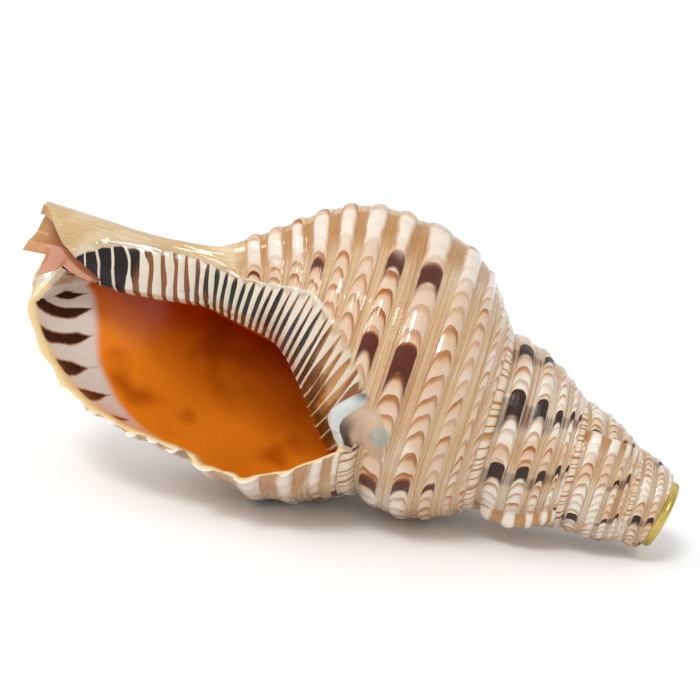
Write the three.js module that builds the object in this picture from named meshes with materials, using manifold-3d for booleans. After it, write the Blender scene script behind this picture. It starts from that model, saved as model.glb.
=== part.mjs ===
// A triton trumpet shell that has been made into a horn.
// The point of the spire is ground off square and a brass mouthpiece is set into the opening.
// The shell is grown by one rule: every turn round the coiling axis makes it larger by the same factor.
// A place on it is given by its growth line (an angle that keeps increasing towards the lip) and by
// v, which runs from 0 at the upper suture to 1 at the lower suture and 2 at the tip of the canal.
import * as THREE from 'three';
import { mergeVertices } from 'three/addons/utils/BufferGeometryUtils.js';
import Module from 'manifold-3d';

const wasm = await Module();
wasm.setup();

// Growth of the shell. Lengths in mm, angles in degrees round the coiling axis:
// 0 is the side with the aperture, 90 the top, and growth goes towards larger angles.
const GROWTH = 1.361;
const SIZE_ANGLE = 322;
const SUTURE_ALONG = 199;
const CUT_ALONG = 66;
const TIP_ALONG = 386;
const CENTRE_ALONG = 200;
const LIP_ANGLE = 348;
const LINE_TURN = 334;
const SPIRE_SLOPE = 0.25;
const BODY_SLOPE = 0.282;

// Walls and the mouthpiece.
const WALL = 2.5;
const THINNEST_WALL = 1.4;
const CALLUS = 0.6;
const CANAL_RADIUS = 7.5;
const BORE_RADIUS = 9.6;
const BORE_DEPTH = 16;
const BAND_RADIUS = 16.2;
const BAND_WIDTH = 4.5;
const BAND_EDGE = 0.9;
const SPIGOT_RADIUS = 9.2;
const SPIGOT_LENGTH = 12;
const CUP_RADIUS = 11;
const CUP_DEPTH = 7;
const THROAT_RADIUS = 4.5;
const GAP = 0.3;

// How it lies: the mouthpiece end dips, and the lowest part of the body whorl is worn flat.
const DIP = THREE.MathUtils.degToRad(18.6);
const ROLL = THREE.MathUtils.degToRad(6);
const WORN_FLAT = 1.9;

// Mesh density.
const LINES_PER_TURN = 30;
const LINE_STEP = LINE_TURN / LINES_PER_TURN;
const WHORL_TURNS = 4.7;
const CAVITY_STEP = 18;
const CAVITY_DEPTH = 1240;
const FINEST = 0.02;
const ROUND_SIDES = 32;

// Spiral cords between the sutures, then those of the base, as [start, end] in v.
const WHORL_CORDS = [[0.18, 0.31], [0.34, 0.51], [0.54, 0.76], [0.79, 0.99]];
const BASE_CORDS = [[1.02, 1.09], [1.11, 1.18], [1.2, 1.265], [1.285, 1.345], [1.365, 1.42], [1.44, 1.49]];
const CORD_HEIGHT = 2;
const CORD_ROUNDNESS = 0.6;

// Old lips, as growth lines, with their height in mm. The shell thickened there while it rested.
const VARICES = [[LIP_ANGLE - 20 * LINE_STEP, 8.5], [LIP_ANGLE - 36 * LINE_STEP, 4.5],
  [LIP_ANGLE - 53 * LINE_STEP, 4], [LIP_ANGLE - 70 * LINE_STEP, 4], [LIP_ANGLE - 87 * LINE_STEP, 4]];
const VARIX_YOUNG_SIDE = 6;
const VARIX_OLD_SIDE = 17;
const VARIX_FADE = [[0, 0], [0.15, 0.25], [0.45, 0.45], [0.75, 0.65], [0.95, 0.95], [1.2, 1.2],
  [1.45, 0.9], [1.7, 0]];

// How far the last lip turns outwards, by v, and over how many degrees of growth.
const LIP_FLARE = [[0, 0], [0.3, 1.5], [0.7, 5], [1, 6], [1.3, 5], [1.75, 4.5], [1.9, 1], [2, 0]];
const FLARE_RUN = 14;

// Radii by place along the axis: the neck round the canal, the column that the aperture winds about,
// and the fold that stands out from the column on its lower front.
const NECK = [[200, 12], [290, 14], [316, 11.5], [345, 10.5], [365, 11.5], [TIP_ALONG, 13]];
const COLUMN = [[0, 0], [200, 12], [294, 11.5], [316, 11.5], [345, 10.5], [365, 11.5], [TIP_ALONG, 13]];
const FOLD = [[296, 0], [320, 6.5], [335, 9], [350, 9], [362, 6], [373, 0]];
const FOLD_ANGLE = -50;
const FOLD_SPREAD = 34;

// The canal end bends towards its open side.
const BEND = 15.5;
const BEND_START = 296;
const BEND_RUN = TIP_ALONG - BEND_START;
const BEND_ANGLE = 292;

// How much the whorls bulge between their sutures, by turns before the lip.
const BULGE = [[-3, 5], [-1.7, 5.5], [-1.15, 12.5], [-1, 14.5], [-0.8, 12.5], [0.1, 12.5]];

// How far back a growth line leans, in degrees, from the upper suture to the tip.
const LEAN = [[0, 0], [0.36, 14], [0.6, 21], [1, 26], [1.3, 31], [1.6, 35], [2, 40]];

const rad = THREE.MathUtils.degToRad;
const lerp = THREE.MathUtils.lerp;
const clamp = THREE.MathUtils.clamp;

function smooth(x, from, to) {
  return THREE.MathUtils.smoothstep(x, from, to);
}

// The value at x on a curve given by straight stretches between [x, value] points.
function along(x, points) {
  if (x <= points[0][0]) return points[0][1];
  for (let i = 1; i < points.length; i += 1) {
    const [x0, y0] = points[i - 1];
    const [x1, y1] = points[i];
    if (x <= x1) return lerp(y0, y1, (x - x0) / (x1 - x0));
  }
  return points[points.length - 1][1];
}

const turns = (angle) => (angle - SIZE_ANGLE) / 360;
const scaleAt = (t) => GROWTH ** t;
const sutureAlong = (t) => SUTURE_ALONG * scaleAt(t);

function sutureRadius(t) {
  const slope = lerp(SPIRE_SLOPE, BODY_SLOPE, smooth(t, -0.75, 0));
  return slope * sutureAlong(t);
}

// A growth line leans back: its lower end lies at a smaller angle than its upper end.
const lean = (v) => -along(v, LEAN);

function columnRadius(a, angle) {
  const facing = THREE.MathUtils.euclideanModulo(angle - FOLD_ANGLE + 180, 360) - 180;
  return along(a, COLUMN) + along(a, FOLD) * Math.exp(-((facing / FOLD_SPREAD) ** 2));
}

// How far down the axis the base of a whorl runs before it meets the column or the neck.
function baseEnd(t) {
  if (t < -1) return 268 * scaleAt(t + 1);
  return along(t, [[-1, 268], [-0.686, 300], [-0.58, 315], [-0.25, 338], [0, 348]]);
}

// Radius of the base of the whorl at a place along the axis below its lower suture.
// An older whorl sweeps in to the column in an S. The last one stays wide until it is near the tip.
function baseRadius(t, a, angle) {
  const a1 = sutureAlong(t + 1);
  const r1 = sutureRadius(t + 1);
  const neck = along(a, NECK);
  const onColumn = 1 - smooth(t, -0.8, -0.66);
  const core = lerp(neck, columnRadius(a, angle), onColumn);
  const fall = clamp((a - a1) / (baseEnd(t) - a1), 0, 1);
  const power = along(t, [[-1, 1], [-0.7, 1.25]]);
  const sweeping = core + (r1 - core) * 0.5 * (1 + Math.cos(Math.PI * fall ** power));
  const part = clamp((a - a1) / (TIP_ALONG - 12 - a1), 0, 1);
  const swell = 4 * Math.sin(Math.PI * clamp(part * 1.3, 0, 1));
  const wide = neck + (r1 + swell - neck) * (1 - part ** 3.5) ** 0.6;
  return lerp(sweeping, wide, smooth(t, -0.36, 0.02) ** 1.3);
}

// The base as a curve with equal steps of arc, so that cords on it keep an even width.
const baseCurves = new Map();
function baseCurve(angle) {
  const key = Math.round(angle * 100);
  if (!baseCurves.has(key)) {
    const t = turns(angle);
    const a1 = sutureAlong(t + 1);
    const steps = 300;
    const points = [];
    for (let i = 0; i <= steps; i += 1) {
      const a = lerp(a1, TIP_ALONG, i / steps);
      points.push(new THREE.Vector2(a, baseRadius(t, a, angle)));
    }
    const lengths = [0];
    for (let i = 1; i <= steps; i += 1) {
      lengths.push(lengths[i - 1] + points[i].distanceTo(points[i - 1]));
    }
    baseCurves.set(key, { points, lengths });
  }
  return baseCurves.get(key);
}

function basePoint(angle, v) {
  const { points, lengths } = baseCurve(angle);
  const wanted = (v - 1) * lengths[lengths.length - 1];
  let i = 1;
  while (i < lengths.length - 1 && lengths[i] < wanted) i += 1;
  const part = clamp((wanted - lengths[i - 1]) / (lengths[i] - lengths[i - 1]), 0, 1);
  return points[i - 1].clone().lerp(points[i], part);
}

function whorlPoint(angle, v) {
  const t = turns(angle);
  const bulge = along(t, BULGE) * Math.max(Math.sin(Math.PI * v), 0) ** 0.85;
  const r = lerp(sutureRadius(t), sutureRadius(t + 1), v) + scaleAt(t) * bulge;
  return new THREE.Vector2(sutureAlong(t) * (1 + (GROWTH - 1) * v), r);
}

// The plain outer surface, without cords or old lips, as (along, radius).
const plainPoint = (angle, v) => (v <= 1 ? whorlPoint(angle, v) : basePoint(angle, v));

function cordRelief(v) {
  const cord = [...WHORL_CORDS, ...BASE_CORDS].find(([start, end]) => v > start && v < end);
  if (!cord) return 0;
  const across = (v - cord[0]) / (cord[1] - cord[0]);
  return CORD_HEIGHT * Math.sin(Math.PI * across) ** CORD_ROUNDNESS;
}

// An old lip is steep on its younger side and runs out gently on the older one.
function varixRelief(line, v) {
  return along(v, VARIX_FADE) * VARICES.reduce((sum, [centre, height]) => {
    const width = line > centre ? VARIX_YOUNG_SIDE : VARIX_OLD_SIDE;
    return sum + height * Math.exp(-(((line - centre) / width) ** 2));
  }, 0);
}

function lipFlare(line, v) {
  return along(v, LIP_FLARE) * Math.exp(-Math.max(LIP_ANGLE - line, 0) / FLARE_RUN);
}

// Shell coordinates to space.
function place(a, r, angle) {
  const bend = BEND * clamp((a - BEND_START) / BEND_RUN, 0, 1.3) ** 1.5;
  const y = -r * Math.cos(rad(angle)) - bend * Math.cos(rad(BEND_ANGLE));
  const z = r * Math.sin(rad(angle)) + bend * Math.sin(rad(BEND_ANGLE));
  return new THREE.Vector3(CENTRE_ALONG - a, y, z);
}

// The place on a growth line, moved off the plain surface by an offset along its normal.
function spotOn(line, v, offset) {
  const angle = line + lean(v);
  const here = plainPoint(angle, v);
  const step = 0.004;
  const before = plainPoint(angle, Math.max(v - step, 0));
  const tangent = plainPoint(angle, Math.min(v + step, 2)).sub(before).normalize();
  return { a: here.x - tangent.y * offset, r: here.y + tangent.x * offset, angle };
}

function outerPoint(line, v) {
  const s = scaleAt(turns(line + lean(v)));
  const closed = v <= 1 && line <= LIP_ANGLE - LINE_TURN ? 1 - smooth(v, 0.93, 1) : 1;
  const relief = closed * (s * (cordRelief(v) + varixRelief(line, v)) + lipFlare(line, v));
  const { a, r, angle } = spotOn(line, v, relief);
  return place(a, r, angle);
}

// Builds a closed solid from a list of corner points and triangles.
function solidOf(corners, faces) {
  const vertProperties = new Float32Array(corners.flatMap((p) => [p.x, p.y, p.z]));
  const triVerts = new Uint32Array(faces.flat());
  return new wasm.Manifold(new wasm.Mesh({ numProp: 3, vertProperties, triVerts }));
}

function solidOfGeometry(geometry) {
  const bare = geometry.clone();
  bare.deleteAttribute('normal');
  bare.deleteAttribute('uv');
  const merged = mergeVertices(bare, 1e-4);
  const vertProperties = new Float32Array(merged.attributes.position.array);
  const triVerts = new Uint32Array(merged.index.array);
  return new wasm.Manifold(new wasm.Mesh({ numProp: 3, vertProperties, triVerts }));
}

function geometryOf(solid) {
  const mesh = solid.simplify(FINEST).getMesh();
  const position = new Float32Array(mesh.numVert * 3);
  for (let i = 0; i < mesh.numVert; i += 1) {
    for (let k = 0; k < 3; k += 1) {
      position[3 * i + k] = mesh.vertProperties[mesh.numProp * i + k];
    }
  }
  const geometry = new THREE.BufferGeometry();
  geometry.setAttribute('position', new THREE.BufferAttribute(position, 3));
  geometry.setIndex(new THREE.BufferAttribute(mesh.triVerts, 1));
  return geometry;
}

function middleOf(ring) {
  return ring.reduce((sum, p) => sum.add(p), new THREE.Vector3()).divideScalar(ring.length);
}

// A tube through closed rings of points, with a fan over each end.
function tubeOf(rings, endCentres) {
  const corners = rings.flat();
  const size = rings[0].length;
  const faces = [];
  for (let i = 0; i + 1 < rings.length; i += 1) {
    for (let j = 0; j < size; j += 1) {
      const next = (j + 1) % size;
      const [p, q] = [i * size + j, i * size + next];
      faces.push([p, q, q + size], [p, q + size, p + size]);
    }
  }
  const first = corners.push(endCentres[0]) - 1;
  const last = corners.push(endCentres[1]) - 1;
  const base = (rings.length - 1) * size;
  for (let j = 0; j < size; j += 1) {
    const next = (j + 1) % size;
    faces.push([first, next, j], [last, base + j, base + next]);
  }
  return solidOf(corners, faces);
}

// Columns of the outer surface: a point in each groove and two on each cord.
function columnsOf(cords, start) {
  const columns = [...start];
  cords.forEach(([from, to]) => {
    columns.push(lerp(from, to, 0.25), lerp(from, to, 0.75), to + 0.015);
  });
  return columns;
}

// The filled outer form. Growth lines are the rows; the end of a row on its lower suture is the
// same corner as the start of the row one turn later.
function filledShell() {
  const whorl = columnsOf(WHORL_CORDS, [0, 0.03, 0.1, 0.165]).filter((v) => v < 1);
  const base = [1, ...BASE_CORDS.flatMap(([from, to]) => [(from + to) / 2, to + 0.01]),
    1.54, 1.6, 1.66, 1.72, 1.79, 1.86, 1.93, 2];
  const rowCount = Math.round(WHORL_TURNS * LINES_PER_TURN);
  const lineOf = (row) => LIP_ANGLE - (rowCount - row) * LINE_STEP;
  const corners = [];
  const rows = [];
  for (let row = 0; row <= rowCount; row += 1) {
    rows.push(whorl.map((v) => corners.push(outerPoint(lineOf(row), v)) - 1));
  }
  const firstOpen = rowCount - LINES_PER_TURN;
  rows.forEach((columns, row) => {
    if (row <= firstOpen) columns.push(rows[row + LINES_PER_TURN][0]);
  });
  for (let row = firstOpen; row <= rowCount; row += 1) {
    const below = row === firstOpen ? base.slice(1) : base;
    below.forEach((v) => rows[row].push(corners.push(outerPoint(lineOf(row), v)) - 1));
  }
  const faces = [];
  for (let row = 0; row < rowCount; row += 1) {
    const [here, next] = [rows[row], rows[row + 1]];
    for (let j = 0; j + 1 < Math.min(here.length, next.length); j += 1) {
      faces.push([here[j], next[j], next[j + 1]], [here[j], next[j + 1], here[j + 1]]);
    }
  }
  // The aperture is closed by a sheet from the lip to the wall of the last turn but one.
  const lip = rows[rowCount];
  const wall = rows[firstOpen].slice(whorl.length);
  let [i, j] = [0, 0];
  while (i < lip.length - 1 || j < wall.length - 1) {
    const lipFirst = (i + 1) / lip.length <= (j + 1) / wall.length;
    if (i < lip.length - 1 && (lipFirst || j === wall.length - 1)) {
      if (lip[i] !== wall[j]) faces.push([lip[i], wall[j], lip[i + 1]]);
      i += 1;
    } else {
      faces.push([lip[i], wall[j], wall[j + 1]]);
      j += 1;
    }
  }
  // The tip and the point of the spire are closed by fans.
  const tipCentre = corners.push(place(TIP_ALONG, 0, 0)) - 1;
  for (let row = firstOpen; row < rowCount; row += 1) {
    faces.push([rows[row].at(-1), rows[row + 1].at(-1), tipCentre]);
  }
  faces.push([lip.at(-1), wall.at(-1), tipCentre]);
  const point = corners.push(place(sutureAlong(turns(lineOf(0))) * 0.9, 0, 0)) - 1;
  const rim = rows.slice(0, LINES_PER_TURN + 1).map((columns) => columns[0]);
  for (let row = 0; row < LINES_PER_TURN; row += 1) {
    faces.push([rim[row + 1], rim[row], point]);
  }
  rows[0].slice(0, -1).forEach((corner, k) => faces.push([corner, rows[0][k + 1], point]));
  return solidOf(corners, faces);
}

// How far along the axis the hollow reaches below the lower suture.
function cavityEnd(angle) {
  const t = turns(angle);
  const a1 = sutureAlong(t + 1);
  return lerp(a1 + 0.72 * (baseEnd(t) - a1), 366, smooth(t, -0.42, -0.05));
}

// The v at which the base of a growth line has reached that end.
function cavityLastV(line) {
  let v = 1.02;
  while (v < 1.98 && basePoint(line + lean(v), v).x < cavityEnd(line + lean(v))) v += 0.01;
  return v;
}

// The hollow that the animal lived in, wound about the column and opening at the lip.
function cavity() {
  const whorlParts = [0.1, 0.24, 0.4, 0.58, 0.76, 0.92];
  const baseParts = [0.12, 0.36, 0.6, 0.8, 1];
  const wallParts = [0.94, 0.8, 0.66, 0.52, 0.38, 0.24, 0.12, 0];
  // Each row: its growth line, how far it runs ahead of that line, and its offset from the surface.
  // The last two are outside the shell, so that the hollow is open at the lip.
  const clear = 8;
  const rows = [];
  for (let line = LIP_ANGLE - CAVITY_DEPTH; line < LIP_ANGLE - 10; line += CAVITY_STEP) {
    rows.push([line, 0, -1]);
  }
  rows.push([LIP_ANGLE - 5, 0, -1], [LIP_ANGLE, 0, -0.6]);
  rows.push([LIP_ANGLE + 0.6, 0, clear], [LIP_ANGLE + 0.6, 28, clear]);
  const rings = rows.map(([start, ahead, offset]) => {
    const lastV = cavityLastV(start);
    const wallRadius = (a, angle) => {
      const t = turns(angle);
      return baseRadius(t - 1, Math.max(a, sutureAlong(t)), angle - 360) + CALLUS;
    };
    const outer = [...whorlParts, ...baseParts.map((part) => lerp(1, lastV, part))].map((v) => {
      const line = start + ahead * lerp(0.12, 1, v / 2);
      const t = turns(line + lean(v));
      const wall = Math.max(WALL * scaleAt(t) ** 0.7, THINNEST_WALL);
      const spot = spotOn(line, v, lipFlare(line, v) + (offset > 0 ? offset : offset * wall));
      return { ...spot, r: Math.max(spot.r, wallRadius(spot.a, spot.angle) + 0.7) };
    });
    const [first, last] = [outer[0], outer[outer.length - 1]];
    const inner = wallParts.map((part) => {
      const a = lerp(first.a, last.a, part);
      const angle = lerp(first.angle, last.angle, part);
      return { a, r: wallRadius(a, angle), angle };
    });
    return [...outer, ...inner].map(({ a, r, angle }) => place(a, r, angle)).reverse();
  });
  return tubeOf(rings, [middleOf(rings[0]), middleOf(rings[rings.length - 1])]);
}

// The open gutter along the neck, cut slantwise at the tip like a quill. Each station gives its
// place along the axis, the radius of the channel, the two edges of the slot and its reach.
function canal() {
  const reach = 30;
  const full = CANAL_RADIUS;
  const stations = [[334, 0.5, -90, -70, 12], [342, 4, -98, -68, 16], [350, 7, -100, -66, 18],
    [358, full, -98, -62, 18], [364, full, -92, -52, 20], [369, full, -80, -28, reach],
    [374, full, -68, 8, reach], [379, full, -62, 30, reach],
    [384, full, -62, 62, reach], [TIP_ALONG + 6, full, -62, 68, reach]];
  const steps = 8;
  const parts = Array.from({ length: steps + 1 }, (_, i) => i / steps);
  const rings = stations.map(([a, radius, lower, upper, outside]) => [
    ...parts.map((part) => place(a, outside, lerp(lower, upper, part))),
    ...parts.map((part) => place(a, radius, lerp(upper, lower + 360, part))),
  ]);
  return tubeOf(rings, [place(stations[0][0], 0, 0), place(TIP_ALONG + 6, 0, 0)]);
}

function boxSolid(width, depth, height, x, y, z) {
  const box = new THREE.BoxGeometry(width, depth, height);
  box.translate(x, y, z);
  return solidOfGeometry(box);
}

// Turned parts are made about the coiling axis, with x measured from the cut end of the spire.
function turned(profile) {
  const outline = profile.map(([x, r]) => new THREE.Vector2(r, x)).reverse();
  const geometry = new THREE.LatheGeometry(outline, ROUND_SIDES);
  geometry.rotateZ(-Math.PI / 2);
  geometry.translate(CENTRE_ALONG - CUT_ALONG, 0, 0);
  return geometry;
}

function shellSolid() {
  const seat = CUT_ALONG + BAND_WIDTH + GAP;
  const block = 200;
  const spire = boxSolid(block, block, block, CENTRE_ALONG - seat + block / 2, 0, 0);
  const [boreFrom, boreTo] = [5, -BAND_WIDTH - BORE_DEPTH];
  const bore = solidOfGeometry(turned([[boreFrom, 0], [boreFrom, BORE_RADIUS], [boreTo, BORE_RADIUS],
    [boreTo, 0]]));
  return filledShell().subtract(cavity()).subtract(canal()).subtract(spire).subtract(bore);
}

// The mouthpiece: a rounded band over the cut end, a shallow cup, and a spigot down the bore.
function mouthpieceGeometry() {
  const [band, edge] = [BAND_WIDTH, BAND_EDGE];
  const profile = [[-band - SPIGOT_LENGTH, THROAT_RADIUS], [-CUP_DEPTH, THROAT_RADIUS],
    [-CUP_DEPTH * 0.75, CUP_RADIUS * 0.72], [-CUP_DEPTH * 0.3, CUP_RADIUS * 0.94], [-edge, CUP_RADIUS],
    [0, CUP_RADIUS + edge], [0, BAND_RADIUS - edge], [-edge * 0.3, BAND_RADIUS - edge * 0.3],
    [-edge, BAND_RADIUS], [-band + edge, BAND_RADIUS], [-band, BAND_RADIUS - edge],
    [-band, SPIGOT_RADIUS], [-band - SPIGOT_LENGTH, SPIGOT_RADIUS], [-band - SPIGOT_LENGTH, THROAT_RADIUS]];
  return turned(profile);
}

function resting(geometry) {
  geometry.rotateX(ROLL);
  geometry.rotateY(DIP);
  return geometry;
}

const horn = new THREE.Group();
const shell = resting(geometryOf(shellSolid()));
const mouthpiece = resting(mouthpieceGeometry());
shell.computeBoundingBox();
mouthpiece.computeBoundingBox();
const whole = shell.boundingBox.clone().union(mouthpiece.boundingBox);
const middle = whole.getCenter(new THREE.Vector3());
[shell, mouthpiece].forEach((geometry) => {
  geometry.translate(-middle.x, -middle.y, -whole.min.z - WORN_FLAT);
});
const [floorSide, floorDepth] = [600, 100];
const floor = boxSolid(floorSide, floorSide, floorDepth, 0, 0, -floorDepth / 2);
const worn = geometryOf(solidOfGeometry(shell).subtract(floor));

const pieces = [
  ['shell', worn, { color: 0xd9bca4, roughness: 0.25, metalness: 0 }],
  ['mouthpiece', mouthpiece, { color: 0xb8923a, roughness: 0.3, metalness: 1 }],
];
pieces.forEach(([name, geometry, finish]) => {
  const mesh = new THREE.Mesh(geometry, new THREE.MeshStandardMaterial(finish));
  mesh.name = name;
  horn.add(mesh);
});

export default horn;
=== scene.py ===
import itertools
import math

import bpy
import numpy as np
from mathutils import Matrix, Vector


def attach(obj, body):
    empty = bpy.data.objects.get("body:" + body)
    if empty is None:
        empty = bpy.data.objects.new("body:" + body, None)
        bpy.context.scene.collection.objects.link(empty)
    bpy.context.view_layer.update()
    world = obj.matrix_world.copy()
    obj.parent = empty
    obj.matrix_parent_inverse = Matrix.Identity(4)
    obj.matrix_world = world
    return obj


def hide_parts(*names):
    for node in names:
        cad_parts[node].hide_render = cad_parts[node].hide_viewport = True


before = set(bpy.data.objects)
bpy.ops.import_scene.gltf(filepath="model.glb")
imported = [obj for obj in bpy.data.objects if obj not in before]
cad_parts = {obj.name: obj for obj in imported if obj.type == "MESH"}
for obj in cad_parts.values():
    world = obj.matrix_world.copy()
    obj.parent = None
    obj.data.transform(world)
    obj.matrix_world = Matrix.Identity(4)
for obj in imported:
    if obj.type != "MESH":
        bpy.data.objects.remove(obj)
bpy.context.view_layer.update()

# The camera stands a little above the shell and looks at its open side.
# It leans a few degrees, because the shell lies with its narrow end low.
CAMERA_TARGET = Vector((0.0009, -0.0084, 0.0748))
CAMERA_DISTANCE = 0.76
CAMERA_AZIMUTH = math.radians(-8.96)
CAMERA_ELEVATION = math.radians(15.66)
CAMERA_ROLL = math.radians(7.21)
CAMERA_LENS = 85
CAMERA_SENSOR = 36

forward = Vector((
    math.sin(CAMERA_AZIMUTH) * math.cos(CAMERA_ELEVATION),
    math.cos(CAMERA_AZIMUTH) * math.cos(CAMERA_ELEVATION),
    -math.sin(CAMERA_ELEVATION),
))
level_right = forward.cross(Vector((0, 0, 1))).normalized()
level_up = level_right.cross(forward)
right = math.cos(CAMERA_ROLL) * level_right + math.sin(CAMERA_ROLL) * level_up
up = right.cross(forward)
camera = bpy.data.objects.new("camera", bpy.data.cameras.new("camera"))
camera.data.lens = CAMERA_LENS
camera.data.sensor_width = CAMERA_SENSOR
camera.data.clip_start = 0.01
axes = Matrix((right, up, -forward)).transposed()
camera.matrix_world = Matrix.Translation(CAMERA_TARGET - CAMERA_DISTANCE * forward) @ axes.to_4x4()
bpy.context.scene.collection.objects.link(camera)
bpy.context.scene.camera = camera


# Each finish is a material made of nodes. Arithmetic on a Value adds Math nodes to its finish.
# A Finish adds every other kind of node, first setting it and then its inputs.
class Value:
    def __init__(self, finish, socket):
        self.finish = finish
        self.socket = socket

    def maths(self, operation, first, second):
        return self.finish.node("Math", {"operation": operation}, {0: first, 1: second})

    def __add__(self, other):
        return self.maths("ADD", self, other)

    def __radd__(self, other):
        return self.maths("ADD", other, self)

    def __sub__(self, other):
        return self.maths("SUBTRACT", self, other)

    def __rsub__(self, other):
        return self.maths("SUBTRACT", other, self)

    def __mul__(self, other):
        return self.maths("MULTIPLY", self, other)

    def __rmul__(self, other):
        return self.maths("MULTIPLY", other, self)

    def __truediv__(self, other):
        return self.maths("DIVIDE", self, other)

    def __pow__(self, other):
        return self.maths("POWER", self, other)


class Finish:
    def __init__(self, name):
        self.material = bpy.data.materials.new(name)
        self.material.use_nodes = True
        self.tree = self.material.node_tree
        self.tree.nodes.clear()

    def node(self, kind, settings=None, inputs=None, output=0):
        made = self.tree.nodes.new("ShaderNode" + kind)
        for name, setting in (settings or {}).items():
            setattr(made, name, setting)
        for name, value in (inputs or {}).items():
            socket = made.inputs[name]
            if isinstance(value, Value):
                self.tree.links.new(value.socket, socket)
            elif isinstance(value, tuple) and len(value) == 3 and socket.type == "RGBA":
                socket.default_value = (*value, 1)
            else:
                socket.default_value = value
        return Value(self, made.outputs[output])

    def mixed(self, first, second, part):
        return self.node("Mix", {"data_type": "RGBA"}, {0: part, 6: first, 7: second}, 2)

    def eased(self, value, low, high, start=0.0, end=1.0):
        return self.node("MapRange", {"interpolation_type": "SMOOTHSTEP"},
                         {0: value, 1: low, 2: high, 3: start, 4: end})

    def faded(self, value, low, high):
        return self.eased(value, low, high, 1.0, 0.0)

    def noise(self, vector, scale, detail=2.0, roughness=0.5):
        return self.node("TexNoise", None,
                         {"Vector": vector, "Scale": scale, "Detail": detail, "Roughness": roughness})

    def finished(self, sockets):
        shader = self.node("BsdfPrincipled", None, sockets)
        end = self.tree.nodes.new("ShaderNodeOutputMaterial")
        self.tree.links.new(shader.socket, end.inputs["Surface"])
        return self.material


def srgb(red, green, blue):
    return tuple(c / 12.92 if c < 0.04045 else ((c + 0.055) / 1.055) ** 2.4 for c in (red, green, blue))


# The shell lies on a plain white table that runs out of sight.
# The table is painted board, smooth but not glossy.
TABLE_SIDE = 40.0
TABLE_WHITE = (0.95, 0.95, 0.95)
TABLE_ROUGHNESS = 0.55

table_mesh = bpy.data.meshes.new("table")
half = TABLE_SIDE / 2
table_corners = [(-half, -half, 0), (half, -half, 0), (half, half, 0), (-half, half, 0)]
table_mesh.from_pydata(table_corners, [], [(0, 1, 2, 3)])
table = bpy.data.objects.new("table", table_mesh)
table_paint = Finish("white_board")
table_mesh.materials.append(table_paint.finished({"Base Color": TABLE_WHITE, "Roughness": TABLE_ROUGHNESS}))
bpy.context.scene.collection.objects.link(table)

# Soft studio light: a white room, a wide lamp high in front, and a weaker one on the left.
# Both lamps are far away, so that they light the table evenly. Each has a direction, a width in degrees and
# a strength.
ROOM_LIGHT = 0.83
LAMPS = {"high_lamp": ((-0.2, -0.5, 0.8), 17, 1.2), "side_lamp": ((-0.75, -0.35, 0.6), 12, 0.35)}


def far_lamp(name, direction, width, strength):
    lamp = bpy.data.lights.new(name, "SUN")
    lamp.angle = math.radians(width)
    lamp.energy = strength
    made = bpy.data.objects.new(name, lamp)
    made.rotation_euler = (-Vector(direction)).to_track_quat("-Z", "Y").to_euler()
    bpy.context.scene.collection.objects.link(made)


room = bpy.data.worlds.new("room")
room.use_nodes = True
room.node_tree.nodes["Background"].inputs["Color"].default_value = (1, 1, 1, 1)
room.node_tree.nodes["Background"].inputs["Strength"].default_value = ROOM_LIGHT
bpy.context.scene.world = room
for lamp_name, (direction, width, strength) in LAMPS.items():
    far_lamp(lamp_name, direction, width, strength)
bpy.context.scene.view_settings.view_transform = "Standard"

# The shell. It grew in one piece by one rule: each turn round the coiling axis is larger by the same factor.
# A place on it is given by its growth line, in degrees that increase towards the lip, and by v: 0 at the
# upper suture, 1 at the lower one and 2 at the tip of the canal. Lengths are in mm until it is placed.
GROWTH = 1.361
SIZE_ANGLE = 322
SUTURE_ALONG = 199
CUT_ALONG = 66
TIP_ALONG = 386
CENTRE_ALONG = 200
LIP_ANGLE = 348
LINE_TURN = 334
SPIRE_SLOPE = 0.25
BODY_SLOPE = 0.282
LEAN = ((0, 0), (0.36, 14), (0.6, 21), (1, 26), (1.3, 31), (1.6, 35), (2, 40))
BULGE = ((-3, 5), (-1.7, 5.5), (-1.15, 12.5), (-1, 14.5), (-0.8, 12.5), (0.1, 12.5))
NECK = ((200, 12), (290, 14), (316, 11.5), (345, 10.5), (365, 11.5), (TIP_ALONG, 13))
COLUMN = ((0, 0), (200, 12), (294, 11.5), (316, 11.5), (345, 10.5), (365, 11.5), (TIP_ALONG, 13))
FOLD = ((296, 0), (320, 6.5), (335, 9), (350, 9), (362, 6), (373, 0))
FOLD_ANGLE = -50
FOLD_SPREAD = 34
BASE_END = ((-1, 268), (-0.686, 300), (-0.58, 315), (-0.25, 338), (0, 348))
BEND = 15.5
BEND_START = 296
BEND_ANGLE = math.radians(292)
BASE_ROUND = 12
BASE_SWELL = 4
TIP_BACK = 1.5
TIP_BACK_RUN = 16
TIP_BACK_ANGLE = math.radians(230)
DIP = math.radians(18.6)
ROLL = math.radians(6)
RESTING_TURN = np.array(Matrix.Rotation(DIP, 3, "Y") @ Matrix.Rotation(ROLL, 3, "X"))
RESTING_SHIFT = np.array((26.661, -2.305, 63.037))


def curve(x, points):
    places, values = zip(*points)
    return np.interp(x, places, values)


def smooth(x, low, high):
    part = np.clip((x - low) / (high - low), 0, 1)
    return part * part * (3 - 2 * part)


def between(first, second, part):
    return first + (second - first) * part


def turns(angle):
    return (angle - SIZE_ANGLE) / 360


def suture_along(t):
    return SUTURE_ALONG * GROWTH ** t


def suture_radius(t):
    return between(SPIRE_SLOPE, BODY_SLOPE, smooth(t, -0.75, 0)) * suture_along(t)


def lean(v):
    return -curve(v, LEAN)


def column_radius(a, angle):
    facing = (angle - FOLD_ANGLE + 180) % 360 - 180
    return curve(a, COLUMN) + curve(a, FOLD) * np.exp(-((facing / FOLD_SPREAD) ** 2))


def base_end(t):
    return np.where(t < -1, BASE_END[0][1] * GROWTH ** (t + 1), curve(t, BASE_END))


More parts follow.
